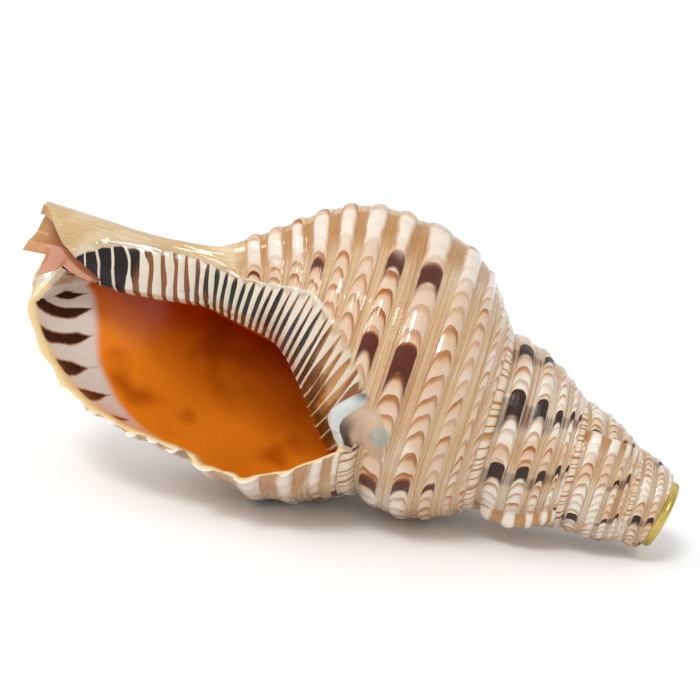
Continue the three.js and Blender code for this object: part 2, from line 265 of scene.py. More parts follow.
def base_radius(t, a, angle):
    a1 = suture_along(t + 1)
    r1 = suture_radius(t + 1)
    neck = curve(a, NECK)
    core = between(neck, column_radius(a, angle), 1 - smooth(t, -0.8, -0.66))
    fall = np.clip((a - a1) / (base_end(t) - a1), 0, 1)
    power = curve(t, ((-1, 1), (-0.7, 1.25)))
    sweeping = core + (r1 - core) * 0.5 * (1 + np.cos(np.pi * fall ** power))
    part = np.clip((a - a1) / (TIP_ALONG - BASE_ROUND - a1), 0, 1)
    swell = BASE_SWELL * np.sin(np.pi * np.clip(part * 1.3, 0, 1))
    wide = neck + (r1 + swell - neck) * (1 - part ** 3.5) ** 0.6
    return between(sweeping, wide, smooth(t, -0.36, 0.02) ** 1.3)


# The base of every growth line as a curve with equal steps of arc, worked out once every two degrees.
BASE_STEP = 2
BASE_FIRST = LIP_ANGLE - 1360
BASE_LAST = LIP_ANGLE + 40
BASE_PARTS = 241
BASE_SAMPLES = 400
base_angles = np.arange(BASE_FIRST, BASE_LAST, BASE_STEP)
base_table = np.zeros((len(base_angles), BASE_PARTS, 2))
for row, base_angle in enumerate(base_angles):
    start = suture_along(turns(base_angle) + 1)
    run = np.linspace(start, TIP_ALONG, BASE_SAMPLES)
    radii = base_radius(turns(base_angle), run, base_angle)
    lengths = np.concatenate(([0], np.cumsum(np.hypot(np.diff(run), np.diff(radii)))))
    wanted = np.linspace(0, lengths[-1], BASE_PARTS)
    base_table[row, :, 0] = np.interp(wanted, lengths, run)
    base_table[row, :, 1] = np.interp(wanted, lengths, radii)


def base_point(angle, v):
    row = np.clip((angle - BASE_FIRST) / BASE_STEP, 0, len(base_angles) - 1.001)
    column = np.clip((v - 1) * (BASE_PARTS - 1), 0, BASE_PARTS - 1.001)
    i, j = row.astype(int), column.astype(int)
    down, across = (row - i)[..., None], (column - j)[..., None]
    upper = between(base_table[i, j], base_table[i, j + 1], across)
    lower = between(base_table[i + 1, j], base_table[i + 1, j + 1], across)
    return between(upper, lower, down)


def plain_point(angle, v):
    t = turns(angle)
    bulge = curve(t, BULGE) * np.maximum(np.sin(np.pi * np.clip(v, 0, 1)), 0) ** 0.85
    a = suture_along(t) * (1 + (GROWTH - 1) * v)
    r = between(suture_radius(t), suture_radius(t + 1), v) + GROWTH ** t * bulge
    return np.where((v <= 1)[..., None], np.stack([a, r], -1), base_point(angle, v))


def spot_on(line, v, offset):
    """The place on a growth line, moved off the plain surface along its normal: along, radius, angle."""
    angle = line + lean(v)
    step = 0.004
    tangent = plain_point(angle, np.minimum(v + step, 2)) - plain_point(angle, np.maximum(v - step, 0))
    tangent /= np.linalg.norm(tangent, axis=-1, keepdims=True)
    here = plain_point(angle, v)
    return here[..., 0] - tangent[..., 1] * offset, here[..., 1] + tangent[..., 0] * offset, angle


def place(a, r, angle):
    turn = np.radians(angle)
    bend = BEND * np.clip((a - BEND_START) / (TIP_ALONG - BEND_START), 0, 1.3) ** 1.5
    drawn_back = TIP_BACK * smooth(a, TIP_ALONG - TIP_BACK_RUN, TIP_ALONG)
    a = a + drawn_back * smooth(np.cos(turn - TIP_BACK_ANGLE), 0, 0.8)
    y = -r * np.cos(turn) - bend * math.cos(BEND_ANGLE)
    z = r * np.sin(turn) + bend * math.sin(BEND_ANGLE)
    return np.stack([CENTRE_ALONG - a, y, z], -1)


def on_axis(along):
    """Points on the coiling axis."""
    return place(np.array(along, float), np.zeros(len(along)), np.zeros(len(along)))


def rested(points):
    """Turns points in mm to how the shell lies, and gives them in metres."""
    return (points @ RESTING_TURN.T + RESTING_SHIFT) / 1000


# Relief of the outside: spiral cords, the wrinkled cord under the suture, old lips, the flare of the last
# lip with its scalloped edge, and a slight unevenness of growth.
WHORL_CORDS = ((0.085, 0.12), (0.17, 0.225), (0.31, 0.405), (0.495, 0.645), (0.755, 0.945))
BASE_CORDS = ((1.02, 1.065), (1.088, 1.13), (1.152, 1.195), (1.22, 1.262), (1.285, 1.327), (1.35, 1.392),
              (1.415, 1.455))
CORDS = WHORL_CORDS + BASE_CORDS
WIDE_CORD = (0.15, 0.042)
WHORL_RIB = 0.036
BASE_RIB = 0.0115
RIB_HEIGHT = 0.3
CORD_HEIGHT = 1.9
CORD_SHARE = 0.72
BEAD_BAND = 0.07
BEAD_ANGLE = 6
BEAD_HEIGHT = 1.1
TURN_ROWS = 160
LINE_STEP = LINE_TURN / TURN_ROWS
# Each old lip has its growth line, its height and the width of its younger side in degrees.
VARICES = ((125, 8.5, 10), (-125, 7, 6), (-380, 9, 3), (-637, 8, 3), (-880, 6, 5))
VARIX_OLD_SIDE = 18
VARIX_FADE = ((0, 0), (0.15, 0.25), (0.45, 0.45), (0.75, 0.65), (0.95, 0.95), (1.2, 1.2), (1.45, 0.9),
              (1.7, 0))
OLD_VARIX_FADE = ((0, 0.1), (0.25, 0.75), (0.5, 1), (0.8, 0.85), (1, 0.3))
LIP_FLARE = ((0, 0), (0.3, 1.5), (0.7, 5), (1, 6), (1.3, 5), (1.75, 4.5), (1.9, 1), (2, 0))
FLARE_RUN = 14
GROWTH_RELIEF = 0.16


def grooves():
    """Each groove between two cords: where it starts and ends, and how many low ribs lie in it."""
    for (_, start), (end, _) in zip(CORDS, CORDS[1:]):
        yield start, end, max(1, round((end - start) / (WHORL_RIB if end < 1.01 else BASE_RIB)))


def cord_relief(v):
    relief = np.zeros_like(v)
    for start, end in CORDS:
        across = np.clip((v - start) / (end - start), 0, 1)
        height = CORD_HEIGHT * min(1, (end - start) / WIDE_CORD[start > 1]) ** 0.6
        relief += height * np.sin(np.pi * across) ** 0.7
    for start, end, ribs in grooves():
        across = np.clip((v - start) / (end - start), 0, 1)
        relief += RIB_HEIGHT * 0.5 * (1 - np.cos(2 * np.pi * ribs * across))
    return relief


def bead_count(line, sine):
    """Counts the beads under the suture: each whole number is a gap between two. The sine may be a node."""
    return line / BEAD_ANGLE + 0.3 * sine(line * 0.19) + 0.2 * sine(line * 0.53)


def bead_relief(line, v):
    band = np.clip(v / BEAD_BAND, 0, 1)
    wrinkle = 0.35 + 0.65 * np.abs(np.sin(np.pi * bead_count(line, np.sin))) ** 0.6
    return BEAD_HEIGHT * np.sin(np.pi * band) * wrinkle


def varix_relief(line, v):
    relief = np.zeros_like(line)
    for centre, height, young_side in VARICES:
        width = np.where(line > centre, young_side, VARIX_OLD_SIDE)
        fade = VARIX_FADE if centre > 0 else OLD_VARIX_FADE
        relief += height * np.exp(-(((line - centre) / width) ** 2)) * curve(v, fade)
    return relief


def growth_relief(line, v):
    slow = np.sin(line * 0.31 + 3 * v) + 0.7 * np.sin(line * 0.83 + 1.3) + 0.5 * np.sin(line * 1.37 + 5 * v)
    return GROWTH_RELIEF * slow * smooth(v, 0.02, 0.12) * (1 - smooth(v, 1.6, 1.8))


# The bars inside the lip lie at these places along it. Between them its edge bulges a little.
LIP_BARS = (0, 0.06, 0.27, 0.45, 0.7, 0.98, 1.12, 1.25, 1.375, 1.5, 1.64, 1.785, 1.89, 2)
BAR_SLANT = ((0, 0), (1.25, 0.0003), (1.4, 0.0008), (1.55, 0.0016), (1.68, 0.003), (1.8, 0.0046), (2, 0.005))
SCALLOP = 0.9
SCALLOP_RUN = 7


def bar_count(line, v):
    back = np.maximum(LIP_ANGLE - line, 0)
    return curve(v + curve(v, BAR_SLANT) * back, tuple((place, k) for k, place in enumerate(LIP_BARS)))


def lip_flare(line, v):
    back = np.maximum(LIP_ANGLE - line, 0)
    wavy = SCALLOP * np.cos(2 * np.pi * bar_count(line, v)) * smooth(v, 0.2, 0.5) * (1 - smooth(v, 1.8, 1.9))
    return curve(v, LIP_FLARE) * np.exp(-back / FLARE_RUN) - wavy * np.exp(-back / SCALLOP_RUN)


# The glaze of the inner lip spreads over the front of the older whorl. It carries fine ridges that run into
# the aperture. Its outer edge is given by the angle that it reaches at each place along the axis.
CALLUS = 0.6
GLAZE_EDGE = ((188, -40), (192, -6), (196, 4), (201, 10), (209, 13), (228, 29), (254, 48), (281, 55),
              (305, 62), (328, 62), (350, 40), (366, -20))
GLAZE_RUN = ((200, 6), (240, 6), (270, 3), (325, 4), (340, 9), (366, 16))
GLAZE_LINES = 122
RIDGE_EDGE = ((203, -2), (209, 8), (216, 18), (228, 25), (254, 44), (269, 48), (285, 51), (309, 56),
              (323, 51), (330, 36), (345, 27), (352, 9), (359, -13), (366, -40))
RIDGE_SPACING = ((200, 8.5), (212, 7), (222, 4.6), (240, 3.9), (290, 4), (311, 5.2), (335, 7.5), (352, 7.5),
                 (362, 5))
RIDGE_FAN = ((205, 0.33), (220, 0.2), (240, 0.07), (270, 0), (300, -0.08), (350, -0.16))
RIDGE_HEIGHT = 0.5
# The white tooth at the narrow end of the aperture, and the knob of glaze where the lip joins the whorl.
TOOTH_PATH = ((-26, 204), (-18, 210), (-14, 215), (-9, 218), (-4, 218), (3, 215), (11, 210))
TOOTH_WIDTH = 3
TOOTH_END = 11
TOOTH_RISE = 2.2
KNOB_ALONG = 197
KNOB_ANGLE = -2
KNOB_RADIUS = 3.4
KNOB_RISE = 2
RIDGE_SAMPLES = 400
ridge_run = np.linspace(RIDGE_SPACING[0][0], TIP_ALONG, RIDGE_SAMPLES)
ridge_total = np.cumsum((ridge_run[1] - ridge_run[0]) / curve(ridge_run, RIDGE_SPACING))


def ridge_count(a, angle):
    """Counts the ridges of the glaze: each whole number is the top of a ridge."""
    return np.interp(a + curve(a, RIDGE_FAN) * angle, ridge_run, ridge_total) + 0.08 * np.sin(a * 0.6)


def ridge_depth(a, angle):
    """How far inside the edge of the ridged part of the glaze a place is, in degrees."""
    return curve(a, RIDGE_EDGE) + 2.5 * np.sin(a * 0.9) - angle


def glaze_part(line, v, a, angle):
    """1 where the glaze covers the outside of the older whorl, running out to 0 at its edge."""
    start = LIP_ANGLE - LINE_TURN
    end = start + GLAZE_LINES
    on_front = smooth(line, start - 12, start - 4) * (1 - smooth(line, end - 4, end + 2))
    edge = curve(a, GLAZE_EDGE)
    spread = 1 - smooth(angle, edge - curve(a, GLAZE_RUN), edge)
    return on_front * spread * np.where(v > 1, 1, smooth(angle, -13, -8))


def from_tooth(a, angle):
    """How far a place is from the middle of the tooth, along the axis: below 0 towards the spire."""
    return a - curve(angle, TOOTH_PATH)


def ridge_relief(a, angle):
    ridges = RIDGE_HEIGHT * np.cos(np.pi * ridge_count(a, angle)) ** 2 * smooth(ridge_depth(a, angle), -2, 8)
    off = from_tooth(a, angle)
    tooth = TOOTH_RISE * np.exp(-((off / TOOTH_WIDTH) ** 2))
    tooth = tooth * (1 - smooth(angle, TOOTH_END - 7, TOOTH_END + 1))
    off_knob = np.hypot(a - KNOB_ALONG, angle - KNOB_ANGLE)
    knob = KNOB_RISE * np.exp(-((off_knob / KNOB_RADIUS) ** 2))
    return np.maximum(ridges * smooth(off, -3, -1), tooth) + knob


def outer_spot(line, v):
    size = GROWTH ** turns(line + lean(v))
    closed = np.where((v <= 1) & (line <= LIP_ANGLE - LINE_TURN), 1 - smooth(v, 0.93, 1), 1)
    a, _, angle = spot_on(line, v, 0 * v)
    glaze = glaze_part(line, v, a, angle)
    raised = cord_relief(v) + bead_relief(line, v) + varix_relief(line, v) + growth_relief(line, v)
    raised = size * raised * (1 - 0.75 * glaze)
    ridges = glaze * (CALLUS + ridge_relief(a, angle))
    return spot_on(line, v, closed * (raised + lip_flare(line, v)) + ridges) + (glaze,)


def cord_count(v):
    """Counts the cords: the whole part is the cord, and the fraction runs across it and its groove."""
    places, counts = [0, BEAD_BAND], [-1, -1 + CORD_SHARE * 0.4]
    for number, (start, end) in enumerate(CORDS):
        places += [start, end]
        counts += [number, number + CORD_SHARE]
    return np.interp(v, places + [CORDS[-1][1] + 0.03, 2], counts + [len(CORDS), len(CORDS) + 8])


def solid_piece(name, points, faces, sheets):
    """A closed mesh object. Each sheet is a UV layer that gives two values at every corner of every face."""
    vertices, corners = points
    mesh = bpy.data.meshes.new(name)
    mesh.from_pydata(rested(vertices).tolist(), [], corners[faces].tolist())
    for sheet, values in sheets.items():
        layer = mesh.uv_layers.new(name=sheet)
        layer.data.foreach_set("uv", values[faces.ravel()].astype(np.float32).ravel())
    made = bpy.data.objects.new(name, mesh)
    bpy.context.scene.collection.objects.link(made)
    return made


# Flames are places along the growth where dark spots gather across the cords. The ones that show in front
# are given by flame, cord and length in degrees. The others are drawn by lot.
FLAMES = (-339, -295, -250, -200, -150, -100, -52, -4, 54, 92, 140)
FLAME_STEP = 42
OLDER_FLAMES = 24
YOUNGER_FLAMES = 6
SPOTS = {
    (0, 0): 8, (0, 1): 11, (0, 2): 13, (0, 3): 14, (0, 4): 18,
    (1, 0): 11, (1, 1): 12, (1, 2): 15, (1, 3): 19, (1, 4): 27,
    (2, 3): 10, (2, 4): 16, (7, 2): 6, (7, 3): 9, (7, 4): 10,
    (8, 4): 20, (8, 5): 15, (9, 4): 16, (9, 5): 13, (9, 8): 9, (9, 11): 6,
}
GIVEN_FLAMES = (0, 1, 2, 6, 7, 8, 9)
SPOT_CHANCE = 0.42
SHORTEST_SPOT = 7
LONGEST_SPOT = 17
spot_lengths = np.zeros((OLDER_FLAMES + len(FLAMES) + YOUNGER_FLAMES + 2, len(CORDS) + 12))
lots = np.random.default_rng(11)
drawn = lots.random(spot_lengths.shape) < SPOT_CHANCE
spot_lengths[drawn] = lots.uniform(SHORTEST_SPOT, LONGEST_SPOT, drawn.sum())
for flame in GIVEN_FLAMES:
    spot_lengths[OLDER_FLAMES + flame] = 0
for (flame, cord), length in SPOTS.items():
    spot_lengths[OLDER_FLAMES + flame, cord] = length


def flame_count(line):
    """Counts the flames: each whole number is the middle of one."""
    older = tuple((FLAMES[0] - FLAME_STEP * k, -k) for k in range(OLDER_FLAMES, 0, -1))
    given = tuple((place, k) for k, place in enumerate(FLAMES))
    younger = tuple((FLAMES[-1] + FLAME_STEP * k, given[-1][1] + k) for k in range(1, YOUNGER_FLAMES + 1))
    return curve(line, older + given + younger)


def spot_length(line, v):
    flame = np.floor(flame_count(line) + 0.5).astype(int) + OLDER_FLAMES
    return spot_lengths[flame, np.clip(np.floor(cord_count(v)).astype(int), 0, None)]


# Each old lip has a band of white and brown blocks on its older side, and the last lip has one too.
LEDGES = (119, -121, -376, -633, -878, LIP_ANGLE)
BLOCKS_WIDTH = 22
BLOCKS_STEP = 1.5


def blocks_part(line):
    parts = []
    for ledge in LEDGES:
        width = np.where(line > ledge, BLOCKS_STEP, BLOCKS_WIDTH)
        parts.append(np.exp(-(((line - ledge) / width) ** 2)))
    return np.max(parts, axis=0)


# The pale part behind the lip reaches this many degrees in, at each place along the lip. The threads are
# counted along a growth line. The last four values name the sides of the shell for its finish.
PALE_RUN = ((0, 9), (0.5, 9), (1, 12), (1.3, 17), (1.43, 21), (1.5, 24), (1.57, 30), (1.64, 38), (1.72, 46),
            (2, 60))
THREADS = ((0, 0), (1, 58), (1.5, 135), (2, 150))
OUTSIDE, INSIDE, CANAL, CUT = 0.0, 1.0, 2.0, 3.0


def sheets_of(line, v, a, angle, glaze, side):
    """The values that the finish reads at each corner of the mesh."""
    flat = [np.broadcast_to(np.asarray(x, float), line.shape) for x in (line, v, a, angle, glaze, side)]
    line, v, a, angle, glaze, side = flat
    return {
        "growth": np.stack([line, v], -1),
        "axis": np.stack([a, angle], -1),
        "cords": np.stack([cord_count(v), glaze], -1),
        "side": np.stack([side, flame_count(line)], -1),
        "ridges": np.stack([ridge_count(a, angle), ridge_depth(a, angle)], -1),
        "marks": np.stack([curve(v, THREADS), blocks_part(line)], -1),
        "spots": np.stack([from_tooth(a, angle), spot_length(line, v)], -1),
        "lip": np.stack([LIP_ANGLE - line - curve(v, PALE_RUN), bar_count(line, v)], -1),
    }


# The filled outer form. Its rows are growth lines, and the lower end of a row is the upper end of the row
# one turn later. The columns under the suture are three times as close, for the wrinkles there.
WHORL_TURNS = 4.7
FINE = 3
BEAD_COLUMNS = 6
NECK_COLUMNS = 36
WHORL_COLUMN = 0.0165
BASE_COLUMN = 0.0065
NECK_START = 1.48


def cord_columns(cords, step, beyond):
    """Columns over cords and grooves, with two to each rib, up to a place past the last cord."""
    columns = []
    ribs_after = {start: ribs for start, _, ribs in grooves()}
    for (start, end), following in zip(cords, [start for start, _ in cords[1:]] + [beyond]):
        columns += list(np.linspace(start, end, max(4, round((end - start) / step)), endpoint=False))
        columns += list(np.linspace(end, following, 2 * ribs_after.get(end, 2), endpoint=False))
    return columns


def strip(left, right, left_fine, right_fine):
    """Triangles between two columns of corners, where either column may be finer than the other."""
    if left_fine == right_fine:
        here, there = left[:-1], right[:-1]
        return [np.stack([here, left[1:], right[1:]], 1), np.stack([here, right[1:], there], 1)]
    if left_fine:
        l0, l1, l2, l3 = left[:-1:FINE], left[1::FINE], left[2::FINE], left[3::FINE]
        r0, r1 = right[:-1], right[1:]
        return [np.stack(part, 1) for part in ((l0, l1, r0), (l1, l2, r0), (l2, r1, r0), (l2, l3, r1))]
    l0, l1 = left[:-1], left[1:]
    r0, r1, r2, r3 = right[:-1:FINE], right[1::FINE], right[2::FINE], right[3::FINE]
    return [np.stack(part, 1) for part in ((l0, r1, r0), (l0, r2, r1), (l0, l1, r2), (l1, r3, r2))]


def filled_shell():
    rows = round(WHORL_TURNS * TURN_ROWS)
    first_open = rows - TURN_ROWS
    whorl = [(v, True) for v in [*np.linspace(0, BEAD_BAND, BEAD_COLUMNS), BEAD_BAND + 0.012]]
    whorl += [(v, False) for v in cord_columns(WHORL_CORDS, WHORL_COLUMN, 1)]
    base = [1.0, 1.01, *cord_columns(BASE_CORDS, BASE_COLUMN, NECK_START)]
    base += list(np.linspace(NECK_START, 2, NECK_COLUMNS))
    lines, parts = [], []
    total = 0

    def column(v, start, end, fine):
        nonlocal total
        step = FINE if fine else 1
        line = LIP_ANGLE - (rows - np.arange(start * step, end * step + 1) / step) * LINE_STEP
        index = np.arange(len(line)) + total
        total += len(line)
        lines.append(line)
        parts.append(np.full(len(line), v))
        return index

    faces = []
    columns = [(column(v, 0, rows, fine), fine) for v, fine in whorl]
    for (left, left_fine), (right, right_fine) in zip(columns, columns[1:]):
        faces += strip(left, right, left_fine, right_fine)
    lower = column(1.0, 0, first_open, True)
    last = columns[-1][0]
    faces += strip(last[:first_open + 1], lower, False, True)
    open_columns = [column(v, first_open, rows, False) for v in base]
    faces += strip(last[first_open:], open_columns[0], False, False)
    for left, right in zip(open_columns, open_columns[1:]):
        faces += strip(left, right, False, False)

    line, v = np.concatenate(lines), np.concatenate(parts)
    a, r, angle, glaze = outer_spot(line, v)
    vertices = place(a, r, angle)
    weld = np.arange(total)
    weld[lower] = columns[0][0][TURN_ROWS * FINE:]
    weld[open_columns[0][0]] = weld[lower[-1]]

    # The aperture is closed by a sheet from the lip to the wall of the last turn but one.
    lip = [c[-1] for c, _ in columns] + [c[-1] for c in open_columns]
    wall = [c[0] for c in open_columns]
    sheet = []
    i = j = 0
    while i < len(lip) - 1 or j < len(wall) - 1:
        lip_first = (i + 1) / len(lip) <= (j + 1) / len(wall)
        if i < len(lip) - 1 and (lip_first or j == len(wall) - 1):
            if weld[lip[i]] != weld[wall[j]]:
                sheet.append((lip[i], wall[j], lip[i + 1]))
            i += 1
        else:
            sheet.append((lip[i], wall[j], wall[j + 1]))
            j += 1
    # The tip and the point of the spire are closed by fans.
    point_along = suture_along(turns(line[0])) * 0.9
    vertices = np.concatenate([vertices, on_axis([TIP_ALONG, point_along])])
    tip, point = total, total + 1
    weld = np.append(weld, (tip, point))
    end = open_columns[-1]
    sheet += [(end[k], end[k + 1], tip) for k in range(TURN_ROWS)] + [(end[-1], end[0], tip)]
    rim = columns[0][0][:TURN_ROWS * FINE + 1]
    sheet += [(rim[k + 1], rim[k], point) for k in range(TURN_ROWS * FINE)]
    first_row = [c[0] for c, _ in columns] + [lower[0]]
    sheet += [(first_row[k], first_row[k + 1], point) for k in range(len(first_row) - 1)]
    faces = np.concatenate(faces + [np.array(sheet)])
    pad = [np.append(x, (0, 0)) for x in (line, v, a, angle, glaze)]
    return solid_piece("triton_shell", (vertices, weld), faces, sheets_of(*pad, OUTSIDE))


# The hollow that the animal lived in, wound about the column. The wall thins to a rounded edge at the lip,
# and its inside carries low folds that end at the lip's teeth.
WALL = 2.5
THINNEST_WALL = 1.4
WALL_GAP = 0.7
CAVITY_SHARE = 0.72
CAVITY_END = 366
LIP_TEETH = 13
TOOTH_HEIGHT = 0.5
# Rows of the hollow, which lie closer towards the lip: from, to and step in degrees before it.
CAVITY_ROWS = ((1240, 200, 12), (200, 30, 4), (30, 4, 1.5))
# The steps in which the wall runs out to its rounded edge. Past the lip, the hollow clears the shell.
RIM_STEPS = (3.4, 2.6, 1.9, 1.3, 0.8, 0.4, 0.15, 0)
RIM_RUN = 3.2
THINNEST_RIM = 0.12
OUT_LINE = LIP_ANGLE + 0.6
OUT_AHEAD = 28
OUT_CLEAR = 8


def closed_tube(name, rings, ends, sheets):
    """A closed mesh from rings of points, with a fan over each end."""
    count, size = rings.shape[:2]
    index = np.arange(count * size).reshape(count, size)
    following = np.roll(index, -1, axis=1)
    faces = [np.stack([index[:-1], following[:-1], following[1:]], -1).reshape(-1, 3),
             np.stack([index[:-1], following[1:], index[1:]], -1).reshape(-1, 3)]
    first, last = count * size, count * size + 1
    faces.append(np.stack([np.full(size, first), following[0], index[0]], -1))
    faces.append(np.stack([np.full(size, last), index[-1], following[-1]], -1))
    vertices = np.concatenate([rings.reshape(-1, 3), ends])
    padded = {sheet: np.concatenate([x.reshape(-1, 2), np.zeros((2, 2))]) for sheet, x in sheets.items()}
    return solid_piece(name, (vertices, np.arange(last + 1)), np.concatenate(faces), padded)


def cavity_last_v(line):
    """How far down a growth line the hollow reaches."""
    probe = np.linspace(1.02, 1.98, 97)
    angle = line + lean(probe)
    t = turns(angle)
    start = suture_along(t + 1)
    end = between(start + CAVITY_SHARE * (base_end(t) - start), CAVITY_END, smooth(t, -0.42, -0.05))
    inside = base_point(angle, probe)[..., 0] < end
    return probe[-1] if inside.all() else probe[np.argmin(inside)]


def wall_radius(a, angle):
    t = turns(angle)
    return base_radius(t - 1, np.maximum(a, suture_along(t)), angle - 360) + CALLUS


def cavity():
    whorl_parts = np.linspace(0.1, 0.92, 22)
    base_parts = np.linspace(0.06, 1, 26)
    wall_parts = np.linspace(0.97, 0, 44)
    rows = []
    for first, last, step in CAVITY_ROWS:
        rows += [(line, 0, -1) for line in np.arange(LIP_ANGLE - first, LIP_ANGLE - last, step)]
    for back in RIM_STEPS:
        thickness = math.sqrt(1 - (1 - min(back / RIM_RUN, 1)) ** 2)
        rows.append((LIP_ANGLE - back, 0, -max(thickness, THINNEST_RIM)))
    rows += [(OUT_LINE, 0, OUT_CLEAR), (OUT_LINE, OUT_AHEAD, OUT_CLEAR)]
    rings, values = [], []
    for start, ahead, offset in rows:
        last_v = cavity_last_v(start)
        v = np.concatenate([whorl_parts, between(1, last_v, base_parts)])
        line = start + ahead * between(0.12, 1, v / 2)
        off = offset
        if offset < 0:
            wall = np.maximum(WALL * GROWTH ** (turns(line + lean(v)) * 0.7), THINNEST_WALL)
            folds = TOOTH_HEIGHT * np.cos(2 * np.pi * LIP_TEETH * v / 1.7)
            folds = folds * smooth(line, LIP_ANGLE - 22, LIP_ANGLE - 6) * smooth(v, 0.15, 0.4)
            off = offset * wall - folds
        a, r, angle = spot_on(line, v, lip_flare(line, v) + off)
        r = np.maximum(r, wall_radius(a, angle) + WALL_GAP)
        wall_a = between(a[0], a[-1], wall_parts)
        wall_angle = between(angle[0], angle[-1], wall_parts) - 360
        shown = smooth(start, LIP_ANGLE - 120, LIP_ANGLE - 60)
        wall_r = wall_radius(wall_a, wall_angle + 360) + shown * ridge_relief(wall_a, wall_angle)
        ring_a, ring_angle = np.append(a, wall_a), np.append(angle, wall_angle)
        rings.append(place(ring_a, np.append(r, wall_r), ring_angle)[::-1])
        on_wall = np.append(0 * a, 1 + 0 * wall_a)
        ring_line = np.append(line, line[0] + 0 * wall_a)
        ring_v = np.append(v, between(v[0], v[-1], wall_parts))
        values.append(np.stack([ring_line, ring_v, ring_a, ring_angle, on_wall], -1)[::-1])
    rings, values = np.array(rings), np.array(values)
    ends = np.stack([rings[0].mean(0), rings[-1].mean(0)])
    return closed_tube("cavity", rings, ends, sheets_of(*[values[..., k] for k in range(5)], INSIDE))


# The open gutter along the neck, cut slantwise at the tip like a quill. Each station gives its place along
# the axis, the radius of the channel, the two edges of the slot and its reach.
CANAL_RADIUS = 7.5
CANAL_REACH = 30
CANAL_START = 336
CANAL_ROWS = 49
CANAL_STATIONS = (
    (CANAL_START, 0.5, -50, -48, 12),
    (343, 4, -49, -43, 18),
    (350, 7, -48, -35, 22),
    (356, CANAL_RADIUS, -48, -27, 24),
    (360, CANAL_RADIUS, -48, -21, 26),
    (364, CANAL_RADIUS, -48, -15, CANAL_REACH),
    (368, CANAL_RADIUS, -48, -6, CANAL_REACH),
    (374, CANAL_RADIUS, -48, 24, CANAL_REACH),
    (377, CANAL_RADIUS, -50, 40, CANAL_REACH),
    (380, CANAL_RADIUS, -62, 56, CANAL_REACH),
    (384, CANAL_RADIUS, -62, 76, CANAL_REACH),
    (TIP_ALONG + 6, CANAL_RADIUS, -62, 80, CANAL_REACH),
)


def canal():
    stations = np.array(CANAL_STATIONS)
    along = np.array([*np.linspace(CANAL_START, TIP_ALONG - 2, CANAL_ROWS), TIP_ALONG + 2, TIP_ALONG + 6])
    radius, low, high, reach = (np.interp(along, stations[:, 0], stations[:, k]) for k in (1, 2, 3, 4))
    part = np.linspace(0, 1, 25)[None, :]
    outside = between(low[:, None], high[:, None], part)
    inside = between(high[:, None], low[:, None] + 360, part)
    angle = np.concatenate([outside, inside], 1)
    r = np.concatenate([reach[:, None] + 0 * part, radius[:, None] + 0 * part], 1)
    a = along[:, None] + 0 * r
    sheets = sheets_of(a * 0, a * 0 + 2, a, angle, 0, CANAL)
    return closed_tube("canal", place(a, r, angle), on_axis([along[0], along[-1]]), sheets)


# What is cut off square: the point of the spire, the bore for the mouthpiece, and the worn underside.
BAND_WIDTH = 4.5
GAP = 0.3
BORE_RADIUS = 9.6
BORE_DEPTH = 16
BORE_SIDES = 64
BORE_CLEAR = 5
BLOCK = 200
SHARP_EDGE = math.radians(50)


def box_corners(low, high):
    return np.array(list(itertools.product(*zip(low, high))))


def cut_block(name, corners):
    """A closed block with these eight corners in mm, in the shell's own axes."""
    faces = np.array([(0, 1, 3), (0, 3, 2), (4, 6, 7), (4, 7, 5), (0, 4, 5), (0, 5, 1),
                      (2, 3, 7), (2, 7, 6), (0, 2, 6), (0, 6, 4), (1, 5, 7), (1, 7, 3)])
    zero = np.zeros(len(corners))
    sheets = sheets_of(zero, zero, zero + CUT_ALONG, zero, zero, CUT)
    return solid_piece(name, (corners, np.arange(len(corners))), faces, sheets)


def spire_cut():
    seat = CENTRE_ALONG - CUT_ALONG - BAND_WIDTH - GAP
    side = BLOCK / 2
    return cut_block("spire_cut", box_corners((seat, -side, -side), (seat + BLOCK, side, side)))


def bore_cut():
    along = np.array([CUT_ALONG - BORE_CLEAR, CUT_ALONG + BAND_WIDTH + BORE_DEPTH])
    angle = np.linspace(0, 360, BORE_SIDES, endpoint=False)[None, :] + 0 * along[:, None]
    a = along[:, None] + 0 * angle
    sheets = sheets_of(a * 0, a * 0, a, angle, 0, CUT)
    return closed_tube("bore", place(a, BORE_RADIUS + 0 * a, angle), on_axis(along), sheets)


def table_cut():
    corners = box_corners((-BLOCK, -BLOCK, -BLOCK), (BLOCK, BLOCK, 0))
    return cut_block("table_cut", (corners - RESTING_SHIFT) @ RESTING_TURN)


def cut_away(piece, cutters):
    """Cuts each closed mesh out of the piece, and keeps the result as the piece's own mesh."""
    for cutter in cutters:
        cut = piece.modifiers.new(cutter.name, "BOOLEAN")
        cut.operation = "DIFFERENCE"
        cut.solver = "MANIFOLD"
        cut.object = cutter
    evaluated = piece.evaluated_get(bpy.context.evaluated_depsgraph_get())
    result = bpy.data.meshes.new_from_object(evaluated)
    piece.modifiers.clear()
    piece.data = result
    for cutter in cutters:
        bpy.data.objects.remove(cutter)


shell = filled_shell()
cut_away(shell, [cavity(), canal(), spire_cut(), bore_cut(), table_cut()])
shell.data.shade_smooth()
shell.data.set_sharp_from_angle(angle=SHARP_EDGE)

